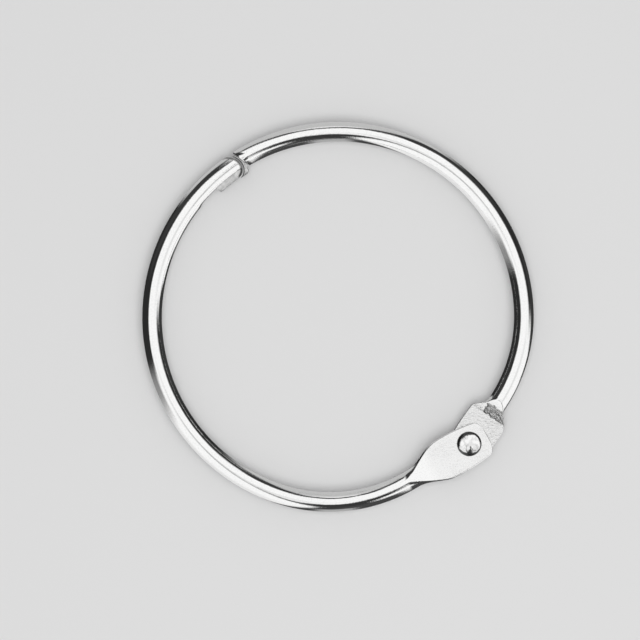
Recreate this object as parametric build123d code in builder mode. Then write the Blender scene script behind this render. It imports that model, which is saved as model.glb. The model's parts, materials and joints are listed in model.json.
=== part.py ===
# Hinged loose-leaf binder ring of round nickel-plated steel wire, in millimetres.
#
# Two half rings of wire meet at a mouth and turn on one rivet.
# Each half ends at the hinge in a leaf, pressed flat from the wire and set to one side of
# the ring's middle plane, so that the two leaves lie face to face under the rivet's heads.
# At the mouth the long half ends in a rounded tongue and the short half in a cup around it.
# The ring lies flat: +Z is up, and the origin is at the middle of the ring, on the table.

import os
from math import cos, degrees, hypot, radians, sin, tan

from build123d import *

os.makedirs("parts", exist_ok=True)

# Ring and wire
inside_diameter = 50.0
wire_diameter = 2.8
hinge_angle = -43.9
hinge_inset = 0.6
mouth_angle = 123.0

# Bend of each half from the ring's circle in towards its leaf
long_bend_arc = 20.8
long_root_arc = 9.6
long_root_inset = 1.2
short_bend_arc = 14.6
short_root_arc = 6.8
short_root_inset = 0.75

# Leaves
leaf_width = 5.9
leaf_thickness = 1.1
leaf_end = 2.8
leaf_end_taper = 0.45
leaf_end_crown = 0.4
leaf_side_bulge = 0.2
leaf_corner_radius = 0.8
leaf_edge_radius = 0.15
leaf_gap = 0.03
step_angle = 29.0
step_clearance = 0.83

# Place of each leaf at the rivet
long_leaf_axis = 29.0
long_leaf_shift = -0.25
long_heel = 3.9
short_leaf_axis = 234.0
short_leaf_shift = 0.05
short_heel = 4.3

# Rivet
rivet_shank_diameter = 2.0
rivet_head_diameter = 3.5
rivet_head_height = 0.85
rivet_head_crown = 0.3
rivet_head_edge_radius = 0.5
rivet_running_clearance = 0.06
rivet_seat_clearance = 0.01
rivet_head_clearance = 0.03

# Mouth
mouth_gap = 0.35
lip_thickness = 0.9
lip_corner_radius = 0.5
tongue_width = 3.84
tongue_inset = 0.2
tongue_length = 4.7
tongue_reach = 0.17
cup_width = 3.8
cup_inset = 0.35
cup_length = 0.8
wire_cut_reach = 0.7
wire_cut_angle = 15.0
neck_length = 8.2
neck_relief = 0.2

# Sizes that follow
wire_radius = wire_diameter / 2
ring_radius = inside_diameter / 2 + wire_radius
leaf_face = leaf_gap / 2
leaf_back = leaf_face + leaf_thickness
step_foot = hypot(leaf_end, leaf_width / 2) + step_clearance
middle = max(leaf_back + rivet_head_clearance + rivet_head_height, wire_radius)
nose_radius = tongue_width / 2
neck_steps = 5


def around(arc_length):
    """Angle in degrees of an arc of this length on the ring's circle."""
    return degrees(arc_length / ring_radius)


def polar(radius, angle):
    """Point on the ring's middle plane."""
    return Vector(radius * cos(radians(angle)), radius * sin(radians(angle)), middle)


def heading(angle):
    """Level direction at an angle from +X."""
    return Vector(cos(radians(angle)), sin(radians(angle)), 0)


hinge = polar(ring_radius - hinge_inset, hinge_angle)
long_root_angle = hinge_angle - around(long_root_arc)
long_root = polar(ring_radius - long_root_inset, long_root_angle)
long_bend_angle = long_root_angle - around(long_bend_arc) + 360
short_root_angle = hinge_angle + around(short_root_arc)
short_root = polar(ring_radius - short_root_inset, short_root_angle)
short_bend_angle = short_root_angle + around(short_bend_arc)
mouth = Plane(
    polar(ring_radius, mouth_angle), x_dir=heading(mouth_angle - 90), z_dir=(0, 0, 1)
)
nose_angle = mouth_angle + around(nose_radius - tongue_reach)
nose = Plane(
    polar(ring_radius - tongue_inset, nose_angle), x_dir=heading(nose_angle - 90), z_dir=(0, 0, 1)
)


def wire_arc(first_angle, last_angle, root):
    """Round wire on the ring's circle, then bent in to its root at the hinge."""
    with BuildPart() as wire:
        with BuildLine(Plane.XY.offset(middle)) as path:
            circle = CenterArc((0, 0), ring_radius, first_angle, last_angle - first_angle)
            TangentArc(circle @ 1, root, tangent=circle % 1)
        with BuildSketch(Plane(circle @ 0, z_dir=circle % 0)):
            Circle(wire_radius)
        sweep(path=path.wire())
    level_across = (path.line % 1).rotate(Axis.Z, 90)
    return wire.part, Plane(root, x_dir=level_across, z_dir=path.line % 1)


def pressed_leaf(wire_end, axis, shift, heel, side):
    """Leaf with its neck, on the side of the middle plane that side gives as +1 or -1.

    The neck eases from the round wire at wire_end to the leaf's flat section at the heel,
    which is its distance from the rivet. The middle of the leaf is off the rivet by shift.
    """
    along = heading(axis)
    across = heading(axis + 90)
    neck = (hinge - wire_end.origin).dot(along) - heel
    wire_shift = (wire_end.origin - hinge).dot(across)

    def section(flatness):
        """Section across the neck, up to 1 at the leaf."""
        way = flatness**2 * (3 - 2 * flatness)
        width = wire_diameter + (leaf_width - wire_diameter) * way
        back = wire_radius + (leaf_back - wire_radius) * way
        corner = wire_radius + (leaf_edge_radius - wire_radius) * way
        distance = heel + neck * (1 - flatness)
        sideways = wire_shift + (shift - wire_shift) * way
        place = hinge - along * distance + across * sideways
        with BuildSketch(Plane(place, x_dir=across, z_dir=along)) as outline:
            with Locations((0, side * (back - wire_radius) / 2)):
                RectangleRounded(width, back + wire_radius, corner)
        return outline.sketch

    with BuildSketch(wire_end) as round_end:
        with BuildLine():
            for turn in range(8):
                CenterArc((0, 0), wire_radius, 45 * turn - 22.5, 45)
        make_face()

    with BuildPart() as leaf:
        with BuildSketch(Plane(hinge, x_dir=along, z_dir=(0, 0, 1)).offset(side * leaf_face)):
            with BuildLine():
                side_y = leaf_width / 2
                end_x = leaf_end - leaf_end_crown
                end_y = side_y - leaf_end_taper
                left = SagittaArc((-heel, shift + side_y), (end_x, shift + end_y), leaf_side_bulge)
                tip = SagittaArc(left @ 1, (end_x, shift - end_y), leaf_end_crown)
                right = SagittaArc(tip @ 1, (-heel, shift - side_y), leaf_side_bulge)
                Line(right @ 1, left @ 0)
            make_face()
            fillet(vertices().group_by(Axis.X)[-1], leaf_corner_radius)
        extrude(amount=side * leaf_thickness)
        flattening = [section((step + 1) / neck_steps) for step in range(neck_steps)]
        loft([round_end.sketch, *flattening])
    return leaf.part


def step_die(axis, side):
    """What the press takes from the face side of a leaf, up its slope into the wire."""
    depth = side * -wire_diameter
    run = wire_diameter / tan(radians(step_angle))
    die_plane = Plane(hinge, x_dir=heading(axis), z_dir=heading(axis - 90))
    with BuildPart() as die:
        with BuildSketch(die_plane):
            Polygon(
                (leaf_end + wire_diameter, side * leaf_face),
                (-step_foot, side * leaf_face),
                (-step_foot - run, side * leaf_face + depth),
                (leaf_end + wire_diameter, side * leaf_face + depth),
                align=None,
            )
        extrude(amount=leaf_width, both=True)
    return die.part


def lip(width, inset, from_mouth, to_mouth):
    """Flat lip along the wire, between two arc lengths from the mouth, with an eased end."""
    with BuildSketch(Plane.XY.offset(middle - lip_thickness / 2)) as outline:
        start = mouth_angle + around(from_mouth)
        turn = around(to_mouth - from_mouth)
        with BuildLine():
            outer = CenterArc((0, 0), ring_radius - inset + width / 2, start, turn)
            inner = CenterArc((0, 0), ring_radius - inset - width / 2, start, turn)
            Line(outer @ 0, inner @ 0)
            Line(outer @ 1, inner @ 1)
        make_face()
        fillet(vertices().sort_by_distance((outer @ 1 + inner @ 1) / 2)[:2], lip_corner_radius)
    return extrude(outline.sketch, amount=lip_thickness)


with BuildPart() as long_half_ring:
    wire, wire_end = wire_arc(
        mouth_angle - around(mouth_gap + tongue_reach), long_bend_angle, long_root
    )
    add(wire)
    add(pressed_leaf(wire_end, long_leaf_axis, long_leaf_shift, long_heel, 1))
    add(step_die(long_leaf_axis, 1), mode=Mode.SUBTRACT)
    with Locations(Plane(hinge)):
        Cylinder(rivet_shank_diameter / 2 + rivet_seat_clearance, wire_diameter,
                 mode=Mode.SUBTRACT)
    with BuildSketch(Plane.XY.offset(middle)):
        with BuildLine():
            relief_start = mouth_angle - around(wire_diameter)
            relief_turn = around(neck_length + wire_diameter)
            relief = CenterArc(
                (0, 0), ring_radius - wire_radius + neck_relief, relief_start, relief_turn
            )
            Line(relief @ 1, (0, 0))
            Line((0, 0), relief @ 0)
        make_face()
    extrude(amount=wire_diameter, both=True, mode=Mode.SUBTRACT)
    add(lip(tongue_width, tongue_inset, -wire_radius, tongue_length))
    with BuildSketch(nose):
        Rectangle(2 * tongue_width, 2 * tongue_width, align=(Align.MIN, Align.CENTER))
        Circle(nose_radius, mode=Mode.SUBTRACT)
    extrude(amount=wire_diameter, both=True, mode=Mode.SUBTRACT)

with BuildPart() as short_half_ring:
    wire, wire_end = wire_arc(mouth_angle, short_bend_angle, short_root)
    add(wire)
    add(pressed_leaf(wire_end, short_leaf_axis, short_leaf_shift, short_heel, -1))
    add(step_die(short_leaf_axis, -1), mode=Mode.SUBTRACT)
    with Locations(Plane(hinge)):
        Cylinder(rivet_shank_diameter / 2 + rivet_running_clearance, wire_diameter,
                 mode=Mode.SUBTRACT)
    with BuildSketch(mouth):
        with Locations(Location((wire_cut_reach, 0), wire_cut_angle)):
            Rectangle(wire_diameter, 2 * cup_width, align=(Align.MAX, Align.CENTER))
    extrude(amount=wire_diameter, both=True, mode=Mode.SUBTRACT)
    add(lip(cup_width, cup_inset, wire_diameter, -cup_length))
    with BuildSketch(mouth):
        with Locations(Location((wire_cut_reach, 0), wire_cut_angle)):
            Rectangle(2 * cup_width, cup_width, align=(Align.MAX, Align.MIN))
    with BuildSketch(nose):
        Circle(nose_radius + mouth_gap)
        Rectangle(2 * cup_width, 2 * cup_width, align=(Align.MAX, Align.CENTER))
    extrude(amount=wire_diameter, both=True, mode=Mode.SUBTRACT)

with BuildPart() as rivet_head:
    head_radius = rivet_head_diameter / 2
    with BuildSketch(Plane.XZ):
        with BuildLine():
            crown = TangentArc(
                (0, rivet_head_height), (head_radius, rivet_head_height - rivet_head_crown),
                tangent=(1, 0),
            )
            Polyline(crown @ 1, (head_radius, 0), (0, 0), crown @ 0)
        make_face()
        fillet(vertices().group_by(Axis.X)[-1].sort_by(Axis.Y)[-1], rivet_head_edge_radius)
    revolve(axis=Axis.Z)

with BuildPart() as hinge_rivet:
    upper_seat = Plane(hinge).offset(leaf_back)
    lower_seat = Plane(hinge, z_dir=(0, 0, -1)).offset(leaf_back + rivet_head_clearance)
    with Locations(upper_seat):
        Cylinder(rivet_shank_diameter / 2, 2 * leaf_back + rivet_head_clearance,
                 align=(Align.CENTER, Align.CENTER, Align.MAX))
    with Locations(upper_seat, lower_seat):
        add(rivet_head.part)

long_half_ring.part.label = "long_half_ring"
short_half_ring.part.label = "short_half_ring"
hinge_rivet.part.label = "hinge_rivet"

export_step(long_half_ring.part, "parts/long_half_ring.step")
export_step(short_half_ring.part, "parts/short_half_ring.step")
export_step(hinge_rivet.part, "parts/hinge_rivet.step")
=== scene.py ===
# %% [markdown]
# # A hinged binder ring
# A loose-leaf ring is two half rings of round steel wire, plated with nickel. One
# rivet joins them at the hinge, and a tongue and a cup meet at the mouth. The CAD
# solids give the sizes, the places and the motion. This lesson makes the polished
# look: first the wire and its pressed leaves, then the coined mouth and the rivet,
# then the plating, and last the table, the lamp and the studio that the metal mirrors.

# %% [markdown]
# ## The frame
# The polished pieces have to lie where the solids lie. Their places could be typed in
# again, but would drift apart at the next change. So the hinge is read from the frame
# that the solids were packed in, and the CAD box is measured before anything is added.

import bmesh
import bpy
import json
from math import asin, atan2, cos, degrees, exp, pi, radians, sin, sqrt, tan
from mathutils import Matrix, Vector


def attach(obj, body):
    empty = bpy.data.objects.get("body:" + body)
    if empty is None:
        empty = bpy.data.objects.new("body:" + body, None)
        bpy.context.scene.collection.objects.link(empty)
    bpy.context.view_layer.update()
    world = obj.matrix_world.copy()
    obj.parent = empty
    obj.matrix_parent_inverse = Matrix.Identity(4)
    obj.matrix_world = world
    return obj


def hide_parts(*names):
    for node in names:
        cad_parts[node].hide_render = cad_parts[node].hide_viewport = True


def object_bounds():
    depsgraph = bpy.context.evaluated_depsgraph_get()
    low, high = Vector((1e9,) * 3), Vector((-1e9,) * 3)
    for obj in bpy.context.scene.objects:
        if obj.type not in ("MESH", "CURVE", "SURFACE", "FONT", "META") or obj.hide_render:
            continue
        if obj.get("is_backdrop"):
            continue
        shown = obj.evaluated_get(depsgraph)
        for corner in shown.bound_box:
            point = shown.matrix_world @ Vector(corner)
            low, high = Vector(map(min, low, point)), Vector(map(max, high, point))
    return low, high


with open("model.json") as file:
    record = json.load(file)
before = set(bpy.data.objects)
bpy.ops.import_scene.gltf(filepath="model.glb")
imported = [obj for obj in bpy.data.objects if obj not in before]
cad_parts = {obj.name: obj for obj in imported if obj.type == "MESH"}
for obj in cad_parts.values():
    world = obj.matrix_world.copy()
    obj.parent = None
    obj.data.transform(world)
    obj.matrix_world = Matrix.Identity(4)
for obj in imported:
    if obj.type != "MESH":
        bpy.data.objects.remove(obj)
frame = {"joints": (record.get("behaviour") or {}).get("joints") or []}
cad_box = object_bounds()
hinge = Vector(frame["joints"][0]["pos_m"]) * 1000
middle = hinge.z
print("hinge at", [round(value, 2) for value in hinge], "mm")

# %% [markdown]
# ## The wire's circle
# A shut ring is a circle of round wire, bent on a round former. A place on it could be
# given by x and y, but a maker thinks in arcs: so far along the wire, at this angle.
# These helpers speak that way. All sizes are in millimetres until a mesh is finished.

# %% The wire and its circle
WIRE = 1.395  # the wire's radius
RING = 26.4  # radius of the circle that the wire's middle follows


def around(length):
    """Degrees of the ring's circle that an arc of this length takes."""
    return degrees(length / RING)


def heading(angle):
    """The level direction at this angle."""
    return Vector((cos(radians(angle)), sin(radians(angle)), 0))


def polar(radius, angle):
    """A point on the ring's middle plane."""
    return heading(angle) * radius + Vector((0, 0, middle))


def ease(value):
    """Smooth step from 0 to 1."""
    value = min(max(value, 0), 1)
    return value * value * (3 - 2 * value)


print("wire", 2 * WIRE, "mm thick, ring", 2 * (RING - WIRE), "mm inside")

# %% [markdown]
# ## Bends near the hinge
# The factory presses the wire's ends and bends them in, so that both leaves meet on the
# rivet. A curve with a bevel could follow such a line, but it keeps one round section
# all the way, and here the section changes. So the line is worked out as stations: an
# arc leads from the circle to the root, and an easing curve from the root to the leaf.

# %% The arc and the easing curve
BEND_STEPS = 60
NECK_STEPS = 60


def bend_in(start, way, root):
    """Points and headings of the arc that leaves start along way and ends at root."""
    chord = root - start
    turn = degrees(atan2(chord.y, chord.x)) - way
    turn = (turn + 180) % 360 - 180
    stations = []
    for step in range(1, BEND_STEPS + 1):
        part = step / BEND_STEPS
        length = chord.length * sin(radians(turn * part)) / sin(radians(turn))
        point = start + heading(way + turn * part) * length
        stations.append((point, way + 2 * turn * part))
    return stations


def neck_curve(root, way, heel, axis):
    """Points and headings of the easing curve from the root to the leaf's heel."""
    pull = (heel - root).length / 3
    a, b, c, d = root, root + heading(way) * pull, heel - heading(axis) * pull, heel
    stations = []
    for step in range(1, NECK_STEPS + 1):
        t = step / NECK_STEPS
        r = 1 - t
        point = a * r**3 + b * 3 * r * r * t + c * 3 * r * t * t + d * t**3
        slope = (b - a) * r * r + (c - b) * 2 * r * t + (d - c) * t * t
        stations.append((point, degrees(atan2(slope.y, slope.x))))
    return stations


print("a bend has", BEND_STEPS, "stations and a neck", NECK_STEPS)

# %% [markdown]
# ## The two half rings
# Both halves come from the same tools, but their leaves cross at the rivet and one is
# turned over. Two scripts could draw them. One function with two sets of numbers keeps
# them alike. Each station keeps its point, its heading and its distance back from the
# rivet, because everything that the press does depends on that distance.

# %% The middle line of a half ring
STATION = 1.2  # degrees between stations on the circle
HINGE_ANGLE = -43.9
LONG_ROOT = HINGE_ANGLE - around(9.6)
SHORT_ROOT = HINGE_ANGLE + around(6.8)

# turn is the way the line runs, and 1 is anticlockwise. axis is the leaf's heading and
# shift its offset from the rivet. heel is where the leaf begins, back from the rivet,
# and its inner and outer sides have their own. side is 1 where the back is up. bruised
# says how hard the press marked it. The bend runs from the circle to the root.
LONG = dict(turn=1, axis=29.0, shift=-0.25, side=1, bruised=0.3,
            heel=3.9, inner_heel=3.9, outer_heel=3.9,
            root=polar(RING - 1.2, LONG_ROOT), bend=LONG_ROOT - around(20.8) + 360)
SHORT = dict(turn=-1, axis=234.0, shift=0.05, side=-1, bruised=0.8,
             heel=4.3, inner_heel=4.9, outer_heel=3.9,
             root=polar(RING - 0.75, SHORT_ROOT), bend=SHORT_ROOT + around(14.6))


def middle_line(half, first):
    """Stations of a half ring, from its mouth end to the heel of its leaf."""
    last, axis = half["bend"], half["axis"]
    steps = round(abs(last - first) / STATION)
    line = []
    for step in range(steps + 1):
        angle = first + (last - first) * step / steps
        line.append((polar(RING, angle), angle + 90 * half["turn"]))
    line += bend_in(*line[-1], half["root"])
    heel = hinge - heading(axis) * half["heel"] + heading(axis + 90) * half["shift"]
    line += neck_curve(*line[-1], heel, axis)
    back = half["heel"]
    stations = [(*line[-1], back)]
    for (point, way), (after, _) in zip(line[-2::-1], line[:0:-1]):
        back += (point - after).length
        stations.insert(0, (point, way, back))
    return stations


print("long half bends in from", round(LONG["bend"]), "degrees")
print("short half bends in from", round(SHORT["bend"]), "degrees")

# %% [markdown]
# ## One section of the bar
# Pressing turns a round wire into a leaf. Its section is a round that a flat die has
# cut off above and another below, while the sides swell. Points could be drawn by hand
# for each station. A superellipse does it with one number: power 2 is the round wire,
# and a higher power is a squarer bar. Where a die's flat meets the side, a short curve
# rounds the edge, as tumbling and plating do.

# %% Half a section, from the middle of its top to the middle of its bottom
ROUND_POWER = 2
FLAT_STEPS = 4
WALL_STEPS = 20
EDGE_PARTS = (0, 0.25, 0.5, 0.75)
WIDEST_EDGE = 0.45  # of the half width, so that the edge never passes the middle


def half_section(top, bottom, width, power, depth, edge):
    """depth and width are the uncut round's, edge is the reach of the rounded edge."""
    def side(z):
        return width * max(1 - abs(z / depth) ** power, 0) ** (1 / power)

    def along_side(angle):
        z = depth * sin(angle)
        return side(z), z

    flats = []
    for start, z, sign in ((asin(min(top / depth, 1)), top, 1),
                           (asin(max(bottom / depth, -1)), bottom, -1)):
        reach = side(z)
        soft = min(edge, reach * WIDEST_EDGE)
        after = start - sign * soft / depth
        inner, corner, outer = (reach - soft, z), (reach, z), along_side(after)
        flat = [(inner[0] * step / FLAT_STEPS, z) for step in range(FLAT_STEPS)]
        for t in EDGE_PARTS:
            r = 1 - t
            flat.append(tuple(a * r * r + b * 2 * r * t + c * t * t
                              for a, b, c in zip(inner, corner, outer)))
        flats.append((flat, after))
    (above, first), (below, last) = flats
    wall = [along_side(first + (last - first) * step / WALL_STEPS)
            for step in range(WALL_STEPS + 1)]
    return above + wall + below[::-1]


def full_section(*sizes):
    """The closed section: the half and its mirror image."""
    half = half_section(*sizes)
    return half + [(-y, z) for y, z in half[-2:0:-1]]


def round_section(radius):
    return full_section(radius, -radius, radius, ROUND_POWER, radius, 0)


ROUND_WIRE = round_section(WIRE)
print(len(ROUND_WIRE), "points around a section")

# %% [markdown]
# ## Skinning a bar
# A bar could be a list of points and faces, worked out by hand. Here Blender's own
# operators do it: a circle of vertices is extruded once for each station, and every new
# ring is moved to its section. Where rings shrink to a point or a line, their doubles
# are merged, and an end that stays open is filled.

# %% Skin a list of rings
MERGE = 0.0005
SLIVER = 0.0002


def skin(rings, fill_first=False, fill_last=False):
    """Extrude a circle through the rings, which have as many points as each other."""
    mesh = bmesh.new()
    circle = bmesh.ops.create_circle(mesh, segments=len(rings[0]), radius=1)
    order = list(circle["verts"])
    edges = first_edges = list(mesh.edges)
    for vert, place in zip(order, rings[0]):
        vert.co = place
    for ring in rings[1:]:
        grown = bmesh.ops.extrude_edge_only(mesh, edges=edges)["geom"]
        fresh = {item for item in grown if isinstance(item, bmesh.types.BMVert)}
        edges = [item for item in grown if isinstance(item, bmesh.types.BMEdge)
                 and item.verts[0] in fresh and item.verts[1] in fresh]
        order = [next(edge.other_vert(vert) for edge in vert.link_edges
                      if edge.other_vert(vert) in fresh) for vert in order]
        for vert, place in zip(order, ring):
            vert.co = place
    if fill_first:
        bmesh.ops.contextual_create(mesh, geom=first_edges)
    if fill_last:
        bmesh.ops.contextual_create(mesh, geom=edges)
    bmesh.ops.remove_doubles(mesh, verts=mesh.verts, dist=MERGE)
    bmesh.ops.dissolve_degenerate(mesh, edges=mesh.edges, dist=SLIVER)
    return mesh


print("doubles closer than", MERGE, "mm are merged")

# %% [markdown]
# ## The pressed leaf
# Pressed flat, the wire's end is a little over 1 mm thick and twice as wide as before.
# It tapers from its heel to a crowned end with eased corners, and its sides bulge where
# the steel was free to flow. A flat outline could be cut and given a thickness, but the
# neck behind it would still have to be joined on. So the leaf is the same bar with
# other sizes, and the half width at each distance from the rivet draws its outline.

# %% How wide the leaf is
LEAF_SIDE = 2.95  # half the width at the heel
LEAF_TAPER = 0.45
LEAF_BULGE = 0.2
LEAF_TAPERED = 2.4  # past the rivet, where the taper is complete
LEAF_CROWN = 1.9  # past the rivet, where the crowned end begins
LEAF_TIP = 2.8  # past the rivet, where it ends
CROWN_POWER = 2.5


def leaf_half_width(back, heel):
    part = (heel - back) / (heel + LEAF_TAPERED)
    side = LEAF_SIDE - LEAF_TAPER * part + LEAF_BULGE * (1 - (2 * part - 1) ** 2)
    beyond = (-back - LEAF_CROWN) / (LEAF_TIP - LEAF_CROWN)
    if beyond > 0:
        side *= max(1 - beyond**CROWN_POWER, 0) ** (1 / CROWN_POWER)
    return side


def side_width(back, heel, root_back):
    """Half width on the side of the bar that has its heel at this distance."""
    if back < heel:
        return leaf_half_width(back, heel)
    flat = 1 - ease((back - heel) / (root_back - heel))
    return WIRE + (LEAF_SIDE - WIRE) * flat


print("at the rivet a leaf is", round(2 * leaf_half_width(0, 3.9), 2), "mm wide")

# %% [markdown]
# ## The neck and the step
# Between root and heel the bar grows wider, and its back sinks from the wire's crest to
# the leaf's. The die's face is flat under the other leaf and slopes up into the wire
# behind the step, which leaves the bright triangle that is seen there. The slope could
# be sliced off afterwards. As the bottom of each section it needs no cut, and the point
# of the triangle comes by itself where the slope runs out of the round.

# %% Sizes and points of the section at a distance from the rivet
LEAF_FACE = 0.015  # the face clears the ring's middle plane by this much
LEAF_BACK = 1.115  # height of the back
STEP_FOOT = 4.9  # back from the rivet, where the face begins to slope
STEP_SLOPE = tan(radians(29))
BACK_RUN = 1.2  # the back sinks from this far behind the root
SQUARE_RUN = (1.0, 4.0)  # the sides grow square from 1 mm behind it, over 4 mm
SQUARE_POWER = 5  # added to the round's power in the leaf
LEAF_EDGE = 0.12


def bar_sizes(back, half, root_back):
    """Top, bottom, half width and power of the section."""
    heel = half["heel"]
    width = side_width(back, half["outer_heel"], root_back)
    sunk = 1 - ease((back - heel) / (root_back + BACK_RUN - heel))
    square = ease((root_back + SQUARE_RUN[0] - back) / SQUARE_RUN[1])
    outer = WIRE - (WIRE - LEAF_BACK) * sunk
    slope = max(back - STEP_FOOT, 0) * STEP_SLOPE
    inner = max(LEAF_FACE - slope, -WIRE)
    end = (-back - (LEAF_TIP - LEAF_EDGE)) / LEAF_EDGE
    if end > 0:
        round_off = LEAF_EDGE * (1 - sqrt(max(1 - end * end, 0)))
        outer -= round_off
        inner += round_off
    return outer, inner, width, ROUND_POWER + SQUARE_POWER * square


def section_at(back, half, root_back):
    """The section's points, wider on the side whose heel lies further back."""
    outer, inner, width, power = bar_sizes(back, half, root_back)
    points = full_section(outer, inner, width, power, WIRE, LEAF_EDGE)
    inside = side_width(back, half["inner_heel"], root_back) / max(width, 0.001)
    return [(y if y > 0 else y * inside, z * half["side"]) for y, z in points]


def place_ring(point, way, turn, section, shear=0.0):
    """The section's points in space: y is away from the ring's middle, z is up."""
    out = heading(way - 90 * turn)
    ahead = heading(way)
    return [point + out * y + ahead * (shear * y) + Vector((0, 0, z))
            for y, z in section]


print("a leaf is", LEAF_BACK - LEAF_FACE, "mm thick")

# %% [markdown]
# ## From mouth to tip
# A half ring could be three meshes: wire, neck and leaf. Their joints would show as
# seams in a mirror, because a reflection breaks wherever the surface does. So one skin
# runs through all of them. Its stations crowd together at the tip, where the end rounds
# off quickly.

# %% Rings of a half ring
LEAF_STEPS = 40
CROWN_STEPS = 16


def half_rings(half, first):
    """Point, heading and section of each station from the mouth to the leaf's tip."""
    line = middle_line(half, first)
    root_back = line[-NECK_STEPS - 1][2]
    rings = [(point, way, section_at(back, half, root_back))
             for point, way, back in line]
    axis, heel = heading(half["axis"]), half["heel"]
    beside = heading(half["axis"] + 90) * half["shift"]
    backs = [heel - (heel + LEAF_CROWN) * (step + 1) / LEAF_STEPS
             for step in range(LEAF_STEPS)]
    backs += [-LEAF_CROWN
              - (LEAF_TIP - LEAF_CROWN) * sin(radians(90 * (step + 1) / CROWN_STEPS))
              for step in range(CROWN_STEPS)]
    for back in backs:
        point = hinge - axis * back + beside
        rings.append((point, half["axis"], section_at(back, half, root_back)))
    return rings


print("a leaf has", LEAF_STEPS + CROWN_STEPS, "stations")

# %% [markdown]
# ## The tongue
# The long half ends in a rounded nose. Seen from above it is part of a circle a little
# wider than the wire and set a little inwards. A ball could be joined on, but the press
# left the wire's own crown on top. So the wire's section is kept, and its sides are
# held inside the nose's circle with a soft shoulder.

# %% Hold a section inside the nose
MOUTH = 123.0  # the angle where tongue and cup meet
NOSE = 1.92  # radius of the nose, seen from above
NOSE_INSET = 0.2
NOSE_RIM = 0.3  # the nose's top rounds off over this length
NOSE_DROP = 0.22
NOSE_SHOULDER = (0.15, 0.4)  # at most this long, and this part of the half width
TONGUE_REACH = 0.17  # the nose's tip lies past the mouth's line
MOUTH_SLANT = 0.2  # the mouth's line leans by this slope
SLANT_RUN = 2.5
NOSE_ANGLE = MOUTH + around(NOSE - TONGUE_REACH)


def soft_limit(value, limit, soft):
    """value, held inside plus or minus limit with a rounded shoulder."""
    over = abs(value) - (limit - soft)
    if over <= 0 or soft == 0:
        return min(max(value, -limit), limit)
    return (limit - soft * exp(-over / soft)) * (1 if value > 0 else -1)


def nose_section(ahead, section, tall):
    """The section at a distance ahead of the nose's middle, inside its circle."""
    if ahead <= 0:
        return section
    half = sqrt(max(NOSE**2 - ahead**2, 0))
    rim = max(ahead - (NOSE - NOSE_RIM), 0) / NOSE_RIM
    low = 1 - NOSE_DROP * (1 - sqrt(max(1 - rim * rim, 0))) / max(tall, 0.001)
    soft = min(NOSE_SHOULDER[0], half * NOSE_SHOULDER[1])
    return [(soft_limit(y + NOSE_INSET, half, soft) - NOSE_INSET, z * low)
            for y, z in section]


def slant_at(ahead):
    """How far the section leans at this distance ahead of the nose's middle."""
    return MOUTH_SLANT * (1 - ease(-ahead / SLANT_RUN))


print("nose centre at", round(NOSE_ANGLE, 2), "degrees")

# %% [markdown]
# ## The long half ring
# Behind the tongue the die has shaved the wire's inner side a little, over a length of
# about 8 mm. A cut could do that. Clamping the section's inner points gives the same
# flat, and it runs out softly into the round.

# %% Skin the long half
RELIEF = 0.2
RELIEF_LENGTH = 8.2
NOSE_STEPS = 14


def long_half():
    nose = []
    for step in range(NOSE_STEPS):
        ahead = NOSE * cos(radians(90 * step / NOSE_STEPS))
        angle = NOSE_ANGLE - around(ahead)
        section = nose_section(ahead, ROUND_WIRE, WIRE)
        nose.append((polar(RING, angle), angle + 90, section))
    placed = []
    for point, way, section in nose + half_rings(LONG, NOSE_ANGLE):
        gone = degrees(atan2(point.y, point.x)) % 360 - MOUTH
        if gone < around(RELIEF_LENGTH):
            section = [(max(y, RELIEF - WIRE), z) for y, z in section]
        slant = slant_at(radians(NOSE_ANGLE - MOUTH - gone) * RING)
        placed.append(place_ring(point, way, 1, section, slant))
    return skin(placed)


long_mesh = long_half()
print("long half", len(long_mesh.faces), "faces")

# %% [markdown]
# ## The tongue's lip
# The die squeezes a thin flange of metal out on the tongue's inner side. It could be
# pulled out of the wire's own faces, but its edge is far sharper than theirs. So it is
# a thin bar of its own that overlaps the wire, and it is welded on later. On the outer
# side nothing stands out of the wire, so there the bar is kept inside.

# %% Skin the tongue's lip
LIP = 0.45  # half the thickness, before its flats
LIP_FLAT = LIP * 0.85
LIP_POWER = 3
LIP_EDGE = 0.06
LIP_END = 0.5  # radius of its back corners
LIP_COVER = 0.05  # how deep it stays in the wire on the outer side
LIP_STEPS = 6
LIP_END_STEPS = 8
TONGUE_BACK = 4.7  # the lip runs this far back from the mouth's line


def tongue_lip():
    corner = TONGUE_BACK - (NOSE - TONGUE_REACH) - LIP_END
    aheads = [NOSE * cos(radians(90 * step / NOSE_STEPS))
              for step in range(NOSE_STEPS + 1)]
    aheads += [-corner * (step + 1) / LIP_STEPS for step in range(LIP_STEPS)]
    aheads += [-corner - LIP_END * sin(radians(90 * (step + 1) / LIP_END_STEPS))
               for step in range(LIP_END_STEPS)]
    rings = []
    for ahead in aheads:
        angle = NOSE_ANGLE - around(ahead)
        late = max(-ahead - corner, 0) / LIP_END
        width = NOSE - LIP_END * (1 - sqrt(max(1 - late * late, 0)))
        lip = full_section(LIP_FLAT, -LIP_FLAT, width, LIP_POWER, LIP, LIP_EDGE)
        lip = nose_section(ahead, [(y - NOSE_INSET, z) for y, z in lip], LIP)
        lip = [(min(y, WIRE - LIP_COVER), z) for y, z in lip]
        centre = polar(RING, angle)
        rings.append(place_ring(centre, angle + 90, 1, lip, slant_at(ahead)))
    return skin(rings)


lip_mesh = tongue_lip()
print("tongue's lip", len(lip_mesh.faces), "faces")

# %% [markdown]
# ## The short half ring
# The other half is sheared off at the mouth, straight but not quite square, and the cut
# has a small rounded rim. A cutting plane and a bevel could make it. Four narrow rings
# that lean with the cut do the same without a Boolean on the polished wire, and the
# last one is filled.

# %% Skin the short half
CUT_ANGLE = 20
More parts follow.
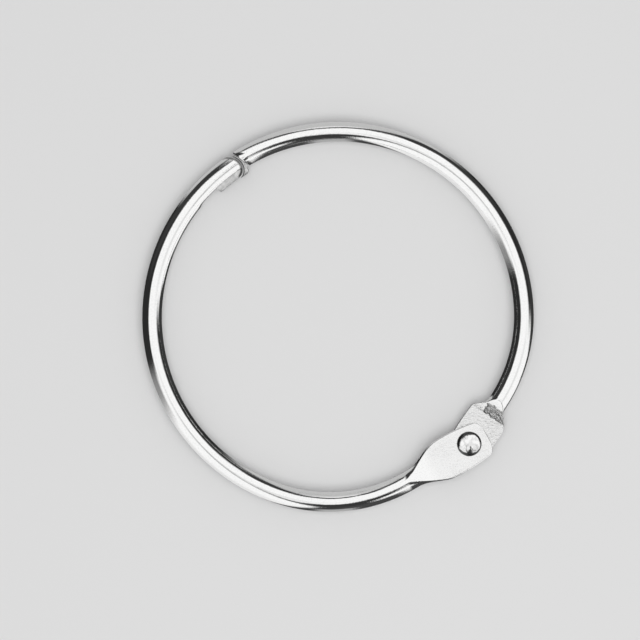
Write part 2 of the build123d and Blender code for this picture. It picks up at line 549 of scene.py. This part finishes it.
# How far each ring is from the mouth's line, and how much smaller than the wire.
CUT_RIM = ((0.6, 0.2), (0.64, 0.1), (0.72, 0.03), (0.85, 0.0), (1.7, 0.0))
CUT_EASED = (0.85, 1.55)  # the lean fades from 0.85 mm, over 1.55 mm
WHOLE_WIRE = 2.4  # from here on the stations are square to the wire


def short_half():
    placed = []
    for reach, inset in CUT_RIM:
        angle = MOUTH - around(reach)
        lean = 1 - ease((reach - CUT_EASED[0]) / CUT_EASED[1])
        section = [(y, -z) for y, z in round_section(WIRE - inset)]
        placed.append(place_ring(polar(RING, angle), angle - 90, -1, section,
                                 -tan(radians(CUT_ANGLE)) * lean))
    for point, way, section in half_rings(SHORT, MOUTH - around(WHOLE_WIRE)):
        placed.append(place_ring(point, way, -1, section))
    return skin(placed, fill_first=True)


short_mesh = short_half()
print("short half", len(short_mesh.faces), "faces")

# %% [markdown]
# ## The cup's ear
# On the inner side a thin ear of the short half reaches round the tongue, so that the
# shut mouth can't slip sideways. Its hollow could be bored out with the nose's shape.
# Here each of its bars simply starts where the nose's circle and the gap end, so the
# gap is even all the way round.

# %% Skin the ear
MOUTH_GAP = 0.2
EAR_IN = -2.25  # its inner end, across the wire
EAR_WIDTH = 3.15
EAR_STEPS = 24
EAR_BACK = 0.8  # its back edge, beside the wire
EAR_CORNER = 0.5
EAR_CORNER_AT = (-1.75, 0.3)  # middle of the round corner: across, and along the wire
EAR_ROOT = -1.4  # from here on it runs back inside the wire
EAR_THIN = 0.0004  # so that the corner never shrinks to nothing
EAR_POWER = 4
EAR_EDGE = 0.05


def cup_ear():
    toward, out = heading(MOUTH - 90), heading(MOUTH)
    ear = []
    for step in range(EAR_STEPS + 1):
        y = EAR_IN + EAR_WIDTH * step / EAR_STEPS
        near = (-NOSE + TONGUE_REACH
                + sqrt((NOSE + MOUTH_GAP) ** 2 - (y + NOSE_INSET) ** 2))
        near -= MOUTH_SLANT * y
        far = EAR_BACK
        if y < EAR_CORNER_AT[0]:
            rise = EAR_CORNER**2 - (y - EAR_CORNER_AT[0]) ** 2
            far = EAR_CORNER_AT[1] + sqrt(max(rise, EAR_THIN))
        elif y > EAR_ROOT:
            far = 1.2 - 0.2 * y
        half = (far - near) / 2
        bar = full_section(LIP_FLAT, -LIP_FLAT, half, EAR_POWER, LIP, EAR_EDGE)
        ear.append([polar(RING, MOUTH) + toward * ((far + near) / 2 + x) + out * y
                    + Vector((0, 0, z)) for x, z in bar])
    return skin(ear, fill_first=True, fill_last=True)


ear_mesh = cup_ear()
print("cup's ear", len(ear_mesh.faces), "faces")

# %% [markdown]
# ## The rivet
# The rivet's head is a shallow dome with a well rounded edge, and its lower head is the
# same. A squashed ball could stand for it, but its edge would be too thin. It is turned
# as on a lathe instead: its profile is a chain of edges, spun a full turn about the
# rivet's axis.

# %% Spin the rivet
HEAD_TOP = LEAF_BACK + 0.849
DOME = (1.39, 0.139)  # how far out the dome reaches, and how fast it falls
SHOULDER = 0.55  # radius of the rounded edge
SHOULDER_AT = (1.2, -0.782)  # its middle: from the axis, and from the head's top
SHOULDER_FROM = 69
HEAD_FOOT = ((1.75, LEAF_BACK + 0.06), (1.69, LEAF_BACK))
SHANK = 1.0
UNDER_GAP = 0.03
PROFILE_STEPS = 10


def rivet():
    mesh = bmesh.new()
    chain = [(0.0, HEAD_TOP)]
    for step in range(1, PROFILE_STEPS + 1):
        reach = DOME[0] * step / PROFILE_STEPS
        chain.append((reach, HEAD_TOP - DOME[1] * reach**2))
    for step in range(1, PROFILE_STEPS + 1):
        angle = radians(SHOULDER_FROM - SHOULDER_FROM * step / PROFILE_STEPS)
        chain.append((SHOULDER_AT[0] + SHOULDER * cos(angle),
                      HEAD_TOP + SHOULDER_AT[1] + SHOULDER * sin(angle)))
    chain += [*HEAD_FOOT, (SHANK, LEAF_BACK)]
    low = [(radius, -height - UNDER_GAP) for radius, height in chain[::-1]]
    corners = [mesh.verts.new(hinge + Vector((radius, 0, height)))
               for radius, height in chain + low]
    edges = [mesh.edges.new(pair) for pair in zip(corners, corners[1:])]
    bmesh.ops.spin(mesh, geom=corners + edges, cent=hinge, axis=(0, 0, 1),
                   angle=2 * pi, steps=64, use_merge=True, use_duplicate=False)
    bmesh.ops.remove_doubles(mesh, verts=mesh.verts, dist=MERGE)
    return mesh


rivet_mesh = rivet()
print("rivet", len(rivet_mesh.faces), "faces")

# %% [markdown]
# ## Shader maths
# A finish is built from masks between 0 and 1, and each mask is a little sum. In the
# editor every sum is a Math node with its links. A small class wraps a socket instead,
# so that masks and patterns read as plain sums here and still become those nodes.

# %% A wrapper for sockets
class Socket:
    def __init__(self, tree, socket):
        self.tree, self.socket = tree, socket

    def math(self, operation, *values):
        return node(self.tree, "ShaderNodeMath", values, operation=operation)

    def __add__(self, other):
        return self.math("ADD", self, other)

    def __sub__(self, other):
        return self.math("SUBTRACT", self, other)

    def __mul__(self, other):
        return self.math("MULTIPLY", self, other)

    def __truediv__(self, other):
        return self.math("DIVIDE", self, other)

    def __rsub__(self, other):
        return self.math("SUBTRACT", other, self)

    __radd__ = __add__
    __rmul__ = __mul__

    def size(self):
        return self.math("ABSOLUTE", self)

    def step(self, low, high):
        """0 below low and 1 above high, with a smooth change between them."""
        return node(self.tree, "ShaderNodeMapRange", (self, low, high),
                    interpolation_type="SMOOTHSTEP")

    def past(self, edge, soft):
        """0 before the edge and 1 past it, with a soft change."""
        return self.step(edge - soft / 2, edge + soft / 2)

    def __getitem__(self, output):
        return Socket(self.tree, self.socket.node.outputs[output])


def node(tree, kind, values=(), **settings):
    """Add a node, set it up, and feed its sockets with numbers, colours or links."""
    made = tree.nodes.new(kind)
    for name, value in settings.items():
        setattr(made, name, value)
    pairs = values.items() if isinstance(values, dict) else enumerate(values)
    for name, value in pairs:
        if isinstance(value, Socket):
            tree.links.new(value.socket, made.inputs[name])
        else:
            made.inputs[name].default_value = value
    shown = [output for output in made.outputs if output.enabled]
    return Socket(tree, shown[0]) if shown else made


print("sums of", Socket.__name__, "objects become Math nodes")

# %% [markdown]
# ## Places and patterns
# The drawn lines run round with the wire and the bruises lie on the leaves, so the
# patterns need places on the object. A painted map could hold them, but needs an
# unwrapped mesh. Object coordinates, turned to millimetres, do without and stay on the
# metal when a half swings open.

# %% Places on the ring, in millimetres
def millimetres(tree):
    """The shaded point, in millimetres."""
    place = node(tree, "ShaderNodeTexCoord")["Object"]
    return node(tree, "ShaderNodeVectorMath", {0: place, 3: 1000.0}, operation="SCALE")


def axes(tree, point):
    """The point's x, y and z."""
    split = node(tree, "ShaderNodeSeparateXYZ", (point,))
    return split["X"], split["Y"], split["Z"]


def offsets(tree, point, origin, angle):
    """Distances from an origin, along an angle and across it."""
    here = node(tree, "ShaderNodeVectorMath", {0: point, 1: tuple(origin)},
                operation="SUBTRACT")
    ways = [tuple(heading(angle + turn)) for turn in (0, 90)]
    return [node(tree, "ShaderNodeVectorMath", {0: here, 1: way},
                 operation="DOT_PRODUCT")["Value"] for way in ways]


def noise(tree, point, scale, detail=2.0, stretch=(1, 1, 1), turn=0.0):
    """Cloudy values about 0.5, which a stretch draws out into strokes."""
    laid = node(tree, "ShaderNodeMapping", {
        "Vector": point, "Rotation": (0, 0, radians(turn)), "Scale": stretch})
    return node(tree, "ShaderNodeTexNoise", {
        "Vector": laid, "Scale": scale, "Detail": detail})


print("the hinge lies", round(hinge.length, 2), "mm from the origin")

# %% [markdown]
# ## One metal for every piece
# All pieces are polished metal. What differs is how dark it gets in its worn places and
# where shade is painted on, how rough it is and how uneven. So one helper feeds a
# metal's shader, and each finish hands it three maps. Only tint, roughness and bump
# change over the surface.

# %% Feed a metal's shader
NICKEL = (0.86, 0.86, 0.856, 1)
# the dark end: worn and dull marks, and painted shade in the gap and the torn patch
DULL_AND_SHADED_NICKEL = (0.36, 0.358, 0.355, 1)


def new_material(name):
    material = bpy.data.materials.new(name)
    material.use_nodes = True
    tree = material.node_tree
    return material, tree, tree.nodes["Principled BSDF"]


def feed_metal(tree, shader, shade, rough, relief, colours, strength):
    """shade goes from the first colour at 0 to the second at 1."""
    tint = node(tree, "ShaderNodeMix", {
        0: shade.math("MINIMUM", shade, 1.0), 6: colours[0], 7: colours[1]},
        data_type="RGBA")[2]
    tree.links.new(tint.socket, shader.inputs["Base Color"])
    tree.links.new(rough.socket, shader.inputs["Roughness"])
    shader.inputs["Metallic"].default_value = 1.0
    bump = node(tree, "ShaderNodeBump", {
        "Height": relief, "Distance": 0.001, "Strength": strength})
    tree.links.new(bump.socket, shader.inputs["Normal"])


print("nickel reflects", NICKEL[0], "of the light")

# %% [markdown]
# ## Nickel plating
# Polished nickel is a mirror of a nearly neutral grey. A plain metal shader would do,
# but looks too clean. What keeps it real is small: fine drawn lines that run round with
# the wire, open pores, and hairline scratches where rings rub in their box.

# %% The plating on the wire
ROUGH = 0.035
SCRATCHES = ((35, 5.0), (118, 7.0))  # the way they run, and how fine they are


def plating(tree, point):
    """Maps of the plated wire, and the cloudy wear that the leaves use too."""
    x, y, z = axes(tree, point)
    radius = x.math("SQRT", x * x + y * y)
    arc = x.math("ARCTAN2", y, x) * RING
    lines = node(tree, "ShaderNodeCombineXYZ", (radius * 7.0, arc * 0.12, z * 7.0))
    drawn = node(tree, "ShaderNodeTexNoise", {
        "Vector": lines, "Scale": 1.0, "Detail": 3.0})
    cloud = noise(tree, point, 0.35, 3.0)
    pores = noise(tree, point, 6.0, 4.0)
    hair = 0
    for turn, fine in SCRATCHES:
        field = noise(tree, point, 1.0, 2.0, (0.25, fine, 1), turn)
        hair = (1 - (field - 0.5).size().step(0.0, 0.012)) + hair
    hair = hair * cloud.step(0.45, 0.65) * 0.5
    maps = {
        "shade": pores.step(0.4, 0.75) * 0.12 + hair * 0.3,
        "rough": ROUGH + 0.04 * cloud.step(0.4, 0.7) + 0.2 * hair,
        "relief": drawn * 0.012 + pores * 0.01,
    }
    return maps, cloud


print("plating with", len(SCRATCHES), "sets of scratches")

# %% [markdown]
# ## Painted shade in the mouth
# The gap round the tongue is too narrow for light to reach its walls. Geometry alone
# would mirror the bright studio into it. So shade is painted there: a mask along the
# nose's circle darkens those walls and leaves the polished wire beside them alone.

# %% A mask of painted shade on the gap's walls
GAP_WALL = NOSE + 0.02


def painted_gap_shade(tree, point):
    """1 on the walls of the gap, 0 away from them."""
    centre = polar(RING - NOSE_INSET, NOSE_ANGLE)
    toward, out = offsets(tree, point, centre, NOSE_ANGLE - 90)
    ahead = toward + out * MOUTH_SLANT
    reach = ahead.math("SQRT", ahead * ahead + out * out)
    near = 1 - (reach - GAP_WALL).size().step(0.18, 0.34)
    return near * ahead.step(0.1, 0.7)


print("gap walls lie about", GAP_WALL, "mm from the nose's middle")

# %% [markdown]
# ## Bruised leaves
# Where the press struck, the skin under the nickel is uneven: slanting strokes and
# small dents, which are stronger on the under leaf. They could be carved into the mesh,
# but are only hundredths of a millimetre deep. So bump and a little tint show them, and
# a mask fades them out along the neck.

# %% The struck skin of a leaf
LEAF_FADE = 3.4  # behind the heel, where the first marks appear
STROKE_ANGLE = 62


def strike(tree, point, half, maps, cloud):
    """Add a leaf's marks to the maps."""
    along = offsets(tree, point, hinge, half["axis"])[0]
    leaf = (along + half["heel"] + LEAF_FADE).step(0.0, 2.0)
    strokes = noise(tree, point, 1.0, 3.0, (1.4, 6.5, 1), -half["axis"] - STROKE_ANGLE)
    dents = noise(tree, point, 3.6, 5.0)
    worn = cloud.step(0.40, 0.62) * (1 - half["bruised"]) + half["bruised"]
    struck = strokes.step(0.5, 0.7) * 0.6 + dents.step(0.55, 0.75) * 0.5
    struck = leaf * struck * worn
    tint = (leaf * 0.18 + struck * 0.65) * half["bruised"]
    maps["shade"] = maps["shade"] + tint + leaf * 0.05
    maps["rough"] = maps["rough"] + leaf * 0.08 + struck * 0.10
    maps["relief"] = maps["relief"] + leaf * (strokes * 0.10
                                              + dents * 0.08) * half["bruised"]


print("the under leaf is bruised by", SHORT["bruised"])

# %% [markdown]
# ## The rough step
# The die's edge leaves a small torn patch on the under leaf, just before the bright
# triangle. It is dark because its rubble catches its own shadow. A few thousand tiny
# faces could model it. A ragged mask with a strong bump gives the same look at this
# size, and the mask ends before the leaf's back.

# %% The torn patch at the step
PATCH_LENGTH = (-1.1, -0.75)  # along the leaf, where it begins
PATCH_SIDE = (-0.75, -0.4)  # across the leaf, where it begins
PATCH_FACE = (-0.8, -0.4)  # heights over which it ends towards the leaf's back


def tear(tree, point, half, maps):
    """Add the torn patch to the maps."""
    along, across = offsets(tree, point, hinge, half["axis"])
    height = axes(tree, point)[2] - middle
    rag = noise(tree, point, 2.5, 4.0) * 0.9
    step = along + STEP_FOOT
    patch = (1 - (step + rag).step(0.2, 0.5)) * (step + rag).step(*PATCH_LENGTH)
    patch = patch * (across + rag).step(*PATCH_SIDE)
    patch = patch * height.step(*PATCH_FACE)
    rubble = noise(tree, point, 3.6, 6.0)
    rim = patch * (1 - patch) * 4
    dark = patch * (1 - rubble.step(0.42, 0.56)) * 0.55
    maps["shade"] = maps["shade"] + dark + rim * 0.5
    maps["rough"] = maps["rough"] + patch * 0.12
    maps["relief"] = maps["relief"] + patch * rubble * 0.8


print("the step begins", STEP_FOOT, "mm from the rivet")

# %% [markdown]
# ## Finishes of the two halves
# Both halves were plated together, so they share the plating. They need a material each
# all the same, because their leaves point in different ways and only the under leaf
# shows its step.

# %% Plate both halves
def nickel(name, half, torn):
    material, tree, shader = new_material(name)
    point = millimetres(tree)
    maps, cloud = plating(tree, point)
    walls = painted_gap_shade(tree, point)
    # painted shade on the walls of the gap round the tongue
    maps["shade"] = maps["shade"] + walls * 1.6
    maps["rough"] = maps["rough"] + walls * 0.3
    strike(tree, point, half, maps, cloud)
    if torn:
        tear(tree, point, half, maps)
    feed_metal(tree, shader, **maps, colours=(NICKEL, DULL_AND_SHADED_NICKEL), strength=0.5)
    return material


long_nickel = nickel("long_half_nickel", LONG, torn=False)
short_nickel = nickel("short_half_nickel", SHORT, torn=True)
print(long_nickel.name, "and", short_nickel.name, "ready")

# %% [markdown]
# ## Coined metal
# The tongue's lip and the ear are metal that was squeezed out of a die. They are dull and
# mottled, with painted shade along their inner edge. The same plating with a higher
# roughness would still look polished, so they have a darker nickel of their own: partly
# their dull skin, and partly painted shade, since they lie low beside the wire.

# %% The lips at the mouth
# a darker coined tint, partly painted shade, and a near black for painted shade and
# mottling
COINED_TINT_AND_SHADE = ((0.72, 0.72, 0.716, 1), (0.10, 0.10, 0.10, 1))
LIP_RIM = RING - NOSE - NOSE_INSET


def coined(name):
    material, tree, shader = new_material(name)
    point = millimetres(tree)
    x, y, _ = axes(tree, point)
    radius = x.math("SQRT", x * x + y * y)
    mottle = noise(tree, point, 2.2, 4.0)
    # painted shade along the inner edge of the lip and the ear
    edge = 1 - (radius - LIP_RIM).step(0.02, 0.14)
    # painted shade on the walls of the gap round the tongue
    walls = painted_gap_shade(tree, point)
    shade = mottle.step(0.35, 0.7) * 0.25 + edge * 0.45 + walls * 1.2
    feed_metal(tree, shader, shade, 0.42 + 0.15 * mottle, mottle * 0.05, COINED_TINT_AND_SHADE, 0.4)
    return material


coined_nickel = coined("coined_nickel")
print(coined_nickel.name, "ready")

# %% [markdown]
# ## The rivet's finish
# The head is polished by its die. Where it meets the leaf, its edge mirrors the dark low
# studio, and that dark reflection is painted on. A dark ring of its own could be laid
# there. A mask by height does it in the material, and leans so that the ring is wider
# on two sides.

# %% The rivet's head
# the dark end: a painted dark reflection round the head's foot, and mottled tone
MOTTLE_AND_REFLECTION_DARK = (0.07, 0.07, 0.07, 1)
DARK_REFLECTION_SIDES = (122.0, 272.0)  # the ways to which the dark ring is wider
HEAD_REACH = 1.6


def rivet_finish(name):
    material, tree, shader = new_material(name)
    point = millimetres(tree)
    mottle = noise(tree, point, 1.6, 1.0)
    first, second = [offsets(tree, point, hinge, way)[0] for way in DARK_REFLECTION_SIDES]
    lean = first.math("MAXIMUM", first, second) / HEAD_REACH
    up = (axes(tree, point)[2] - middle).size() - LEAF_BACK
    # a painted dark reflection round the head's foot, wider on two sides
    ring_reflection = 1 - (up - 0.26 * lean + 0.3 * (mottle - 0.5)).step(0.37, 0.46)
    shade = ring_reflection * 0.95 + mottle.step(0.45, 0.6) * 0.2
    rough = 0.05 + 0.1 * mottle + 0.2 * ring_reflection
    feed_metal(tree, shader, shade, rough, mottle * 0.08, (NICKEL, MOTTLE_AND_REFLECTION_DARK), 0.5)
    return material


rivet_nickel = rivet_finish("rivet_nickel")
print(rivet_nickel.name, "ready")

# %% [markdown]
# ## Finished pieces
# The frame counts in metres and moves each piece about its own joint. A piece could
# keep its place in its object, but the joints expect every object at the origin. So the
# place and the scale go into the mesh, and the normals are made to face outwards.

# %% Turn the meshes into objects
def finish_mesh(mesh, name, material):
    """Metres, outward normals, smooth shading, and an object at the origin."""
    bmesh.ops.recalc_face_normals(mesh, faces=mesh.faces)
    bmesh.ops.scale(mesh, vec=(0.001, 0.001, 0.001), verts=mesh.verts)
    for face in mesh.faces:
        face.smooth = True
    data = bpy.data.meshes.new(name)
    mesh.to_mesh(data)
    mesh.free()
    data.materials.append(material)
    piece = bpy.data.objects.new(name, data)
    bpy.context.scene.collection.objects.link(piece)
    print(name, len(data.polygons), "faces")
    return piece


long_piece = finish_mesh(long_mesh, "long_half_ring_wire", long_nickel)
short_piece = finish_mesh(short_mesh, "short_half_ring_wire", short_nickel)

# %% [markdown]
# ## The rivet's hole
# Both leaves have a hole for the rivet's shank. A ring of faces could be set round it
# by hand, but the leaf's faces don't line up with a circle. So a cylinder is taken out
# of each leaf, and the result is kept as the mesh itself, with no modifier left behind.

# %% Drill the leaves
UPPER_HOLE = 1.01  # holds the shank
UNDER_HOLE = 1.06  # turns on it


def drill(piece, radius):
    mesh = bmesh.new()
    bmesh.ops.create_cone(mesh, cap_ends=True, segments=48, radius1=radius / 1000,
                          radius2=radius / 1000, depth=0.008)
    bmesh.ops.translate(mesh, vec=hinge / 1000, verts=mesh.verts)
    data = bpy.data.meshes.new("drill")
    mesh.to_mesh(data)
    mesh.free()
    tool = bpy.data.objects.new("drill", data)
    bpy.context.scene.collection.objects.link(tool)
    cut = piece.modifiers.new("hole", "BOOLEAN")
    cut.object, cut.operation, cut.solver = tool, "DIFFERENCE", "EXACT"
    graph = bpy.context.evaluated_depsgraph_get()
    drilled = bpy.data.meshes.new_from_object(piece.evaluated_get(graph))
    piece.modifiers.clear()
    piece.data = drilled
    bpy.data.objects.remove(tool)
    print(piece.name, "drilled,", len(drilled.polygons), "faces")


drill(long_piece, UPPER_HOLE)
drill(short_piece, UNDER_HOLE)

# %% [markdown]
# ## Lips on the wire
# Lip and wire are one piece of steel. A Boolean could fuse them, but it would break up
# the polished wire's faces. The two meshes are joined into one object instead, where
# they overlap, and the lip keeps the coined finish in a second material slot.

# %% Weld the lips on
def weld(piece, lip):
    mesh = bmesh.new()
    mesh.from_mesh(lip.data)
    for face in mesh.faces:
        face.material_index = 1
    mesh.from_mesh(piece.data)
    mesh.to_mesh(piece.data)
    piece.data.materials.append(lip.data.materials[0])
    mesh.free()
    bpy.data.objects.remove(lip)
    print(piece.name, "welded,", len(piece.data.polygons), "faces")


weld(long_piece, finish_mesh(lip_mesh, "tongue_lip", coined_nickel))
weld(short_piece, finish_mesh(ear_mesh, "cup_ear", coined_nickel))
rivet_piece = finish_mesh(rivet_mesh, "hinge_rivet_dome", rivet_nickel)

# %% [markdown]
# ## Riding on the frame
# When the ring opens, the rivet stays tight in the long half's leaf and the short half
# turns on it. Key frames could show that for one swing only. Here each piece stands for
# its CAD node and rides on that node's body, so it follows every pose.

# %% Attach the pieces
for piece, stands_for, body, slot in (
    (long_piece, "long_half_ring", "long_half", "ring_wire"),
    (short_piece, "short_half_ring", "short_half", "ring_wire"),
    (rivet_piece, "hinge_rivet", "long_half", "rivet"),
):
    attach(piece, body)
    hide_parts(stands_for)

# %% [markdown]
# ## The table
# The ring lies on a plain pale sheet that fills the picture. A backdrop with a curved
# rise would do as well, but nothing is seen beyond the sheet. The polished metal
# doesn't mirror it, because its rims show the dark and bright of the studio instead.

# %% Lay the sheet
TABLE_HALF = 0.6
SHEET_GREY = (0.745, 0.745, 0.745, 1)


def table():
    mesh = bmesh.new()
    bmesh.ops.create_grid(mesh, x_segments=1, y_segments=1, size=TABLE_HALF)
    data = bpy.data.meshes.new("table")
    mesh.to_mesh(data)
    mesh.free()
    material, _, shader = new_material("table_sheet")
    shader.inputs["Base Color"].default_value = SHEET_GREY
    shader.inputs["Roughness"].default_value = 0.6
    shader.inputs["Specular IOR Level"].default_value = 0.2
    data.materials.append(material)
    piece = bpy.data.objects.new("table", data)
    bpy.context.scene.collection.objects.link(piece)
    piece.visible_glossy = False
    piece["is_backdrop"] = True


table()
print("table", 2 * TABLE_HALF, "m wide")

# %% [markdown]
# ## The lamp
# The ring's shadow is soft, faint and a little to the upper left. A sun would draw it
# with a hard edge. A square lamp half a metre wide, above and to the lower right, makes
# it soft. The metal doesn't mirror the lamp, since the studio has all its reflections.

# %% Hang a large soft lamp
lamp_data = bpy.data.lights.new("soft_lamp", "AREA")
lamp_data.shape = "SQUARE"
lamp_data.size = 0.5
lamp_data.energy = 2.12
lamp = bpy.data.objects.new("soft_lamp", lamp_data)
bpy.context.scene.collection.objects.link(lamp)
lamp.location = (0.06, -0.09, 0.6)
lamp.rotation_euler = (0.149, 0.1, 0)
lamp.visible_glossy = False
print("lamp", lamp_data.size, "m wide")

# %% [markdown]
# ## The studio
# Polished wire shows little of its own: its bright and dark bands are the studio. A
# photographed surround could give them, but this one needs no picture file. It is
# bright all round, with soft-edged cards in greys and a few dark streaks that draw the
# crisp lines. A direction is kept as an angle round the table and an angle down from
# overhead, because the wire mirrors what lies across it and what lies above it.

# %% Cards and streaks
CARDS = (
    # middle, half width, side softness; top, softness; foot, softness; level, slant
    (0, 180, 1, 168, 14, 200, 4, 0.32, 0.0),
    (97, 50, 14, 62, 24, 200, 4, 0.54, 0.0),
    (224, 30, 40, 100, 60, 200, 4, 0.78, 0.0),
    (200, 9, 14, 56, 30, 200, 4, 0.28, 0.0),
    (232, 30, 40, 5, 8, 24, 14, 0.78, 0.0),
    (322, 30, 30, 26, 12, 46, 14, 0.80, 0.0),
    (337, 19, 14, 126, 20, 200, 4, 0.08, 0.0),
    (26, 28, 14, 56, 16, 200, 4, 0.025, 0.0),
    (169.5, 27.5, 8, 38, 12, 200, 4, 0.025, 0.0),
    (276, 11, 5, 28, 7, 200, 4, 0.04, 0.0),
    (270.5, 8, 5, 80, 10, 200, 4, 0.05, -0.2),
    (286, 11, 6, 68, 14, 200, 4, 0.06, 0.08),
    (272.5, 6.5, 5, 98, 16, 200, 4, 0.42, 0.0),
)
STREAKS = (
    # round and down of one end, round and down of the other, half width at each end
    (50, 90, 68, 62, 18, 10),
    (68, 62, 80, 50, 10, 6),
    (80, 50, 92, 45, 6.5, 6),
    (92, 45, 102, 48, 6, 6),
    (102, 48, 112, 62, 6, 5),
    (112, 62, 121, 80, 5, 4),
    (4, 104, -12, 132, 16, 3),
    (2, 145, -8, 155, 36, 12),
    (305, 30, 322, 40, 2.5, 0.5),
    (146, 80, 134, 48, 22, 10),
    (134, 48, 124, 33, 10, 3),
    (268, 42, 257, 37, 14, 5),
    (257, 37, 244, 26, 5, 2),
    (244, 26, 214, 8, 2, 1),
    (284, 38, 290, 27, 12, 8),
    (290, 27, 302, 14, 8, 2.5),
)
STREAK_SOFT = 6
STREAK_LEVEL = 0.04
print(len(CARDS), "cards and", len(STREAKS), "dark streaks")

# %% Directions in the studio
world = bpy.data.worlds.new("studio")
bpy.context.scene.world = world
world.use_nodes = True
tree = world.node_tree
tree.nodes.clear()
x, y, z = axes(tree, node(tree, "ShaderNodeTexCoord")["Generated"])
round_angle = x.math("ARCTAN2", y, x) * (180 / pi)
down_angle = z.math("ARCCOSINE", z) * (180 / pi)


def turned_from(angle):
    """Degrees round from an angle, between -180 and 180."""
    return round_angle.math("WRAP", round_angle - angle, 180.0, -180.0)


print("directions take", len(tree.nodes), "nodes")

# %% [markdown]
# ## Hanging the cards
# A card is a patch of directions with a soft edge, like a sheet of grey paper near the
# ring. It could be a plane in the scene, but a plane also takes light away from the
# table. As a mask in the world it only changes what the metal sees. A streak is a line
# between two directions, and its distance from the line makes the mask.

# %% Masks for a card and a streak
def card_mask(centre, half_width, side_soft, top, top_soft, foot, foot_soft, slant):
    off = turned_from((down_angle - 90) * slant + centre).size()
    card = (1 - off.past(half_width, side_soft)) * down_angle.past(top, top_soft)
    return card * (1 - down_angle.past(foot, foot_soft))


def clear_of_streak(first_turn, first_down, last_turn, last_down,
                    first_width, last_width):
    """0 in the streak and 1 away from it."""
    turn, drop = last_turn - first_turn, last_down - first_down
    off, down = turned_from(float(first_turn)), down_angle - first_down
    part = node(tree, "ShaderNodeMath",
                (off * turn + down * drop, 1 / (turn**2 + drop**2)),
                operation="MULTIPLY", use_clamp=True)
    off, down = off - part * turn, down - part * drop
    reach = off.math("SQRT", off * off + down * down)
    away = reach - part * (last_width - first_width)
    return away.past(first_width, STREAK_SOFT)


first_card, *more_cards = CARDS
light = 1 - card_mask(*first_card[:7], first_card[8]) * (1 - first_card[7])
for *sizes, level, slant in more_cards:
    card = card_mask(*sizes, slant)
    light = light * (1 - card) + card * level
for streak in STREAKS:
    clear = clear_of_streak(*streak)
    light = light * clear + STREAK_LEVEL * (1 - clear)
print("the studio takes", len(tree.nodes), "nodes")

# %% [markdown]
# ## Light from the studio
# The bands belong to reflections only. If the studio lit the table too, its dark cards
# would stain the sheet. Light Path tells the two apart: a glossy ray sees the cards and
# streaks, and every other ray sees an even grey that softens the shadow.

# %% Light the world
EVEN_LIGHT = 0.5
STUDIO_LIGHT = 1.1
glossy = node(tree, "ShaderNodeLightPath")["Is Glossy Ray"]
strength = (1 - glossy) * EVEN_LIGHT + glossy * light * STUDIO_LIGHT
background = node(tree, "ShaderNodeBackground", {
    "Color": (1, 1, 1, 1), "Strength": strength})
node(tree, "ShaderNodeOutputWorld", {"Surface": background})
print("even light", EVEN_LIGHT, "and studio", STUDIO_LIGHT)

# %% [markdown]
# ## The camera
# The view is straight down on the ring. An orthographic camera would be flat, while the
# wire's own depth shows in how its bands lie. So a long lens looks from half a metre
# above the table, which keeps the ring as round as it is.

# %% Camera above the ring
CAMERA_HEIGHT = 500
PICTURE_WIDTH = 90.88  # at the ring's middle plane
camera_data = bpy.data.cameras.new("camera")
camera = bpy.data.objects.new("camera", camera_data)
bpy.context.scene.collection.objects.link(camera)
bpy.context.scene.camera = camera
camera.location = (-0.002556, -0.000341, CAMERA_HEIGHT / 1000)
camera_data.sensor_width = 36
camera_data.lens = 36 * (CAMERA_HEIGHT - middle) / PICTURE_WIDTH
camera_data.clip_start = 0.01
bpy.context.scene.view_settings.view_transform = "Standard"
print("lens", round(camera_data.lens), "mm")

# %% [markdown]
# The dressed ring must not grow past the solids, or it would touch what they clear. The
# eye can't see a hundredth of a millimetre, so both boxes are written down to compare.

# %% Write both boxes and finish
sizes = {"cad": [list(corner) for corner in cad_box],
         "visual": [list(corner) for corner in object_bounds()]}
print(sizes)
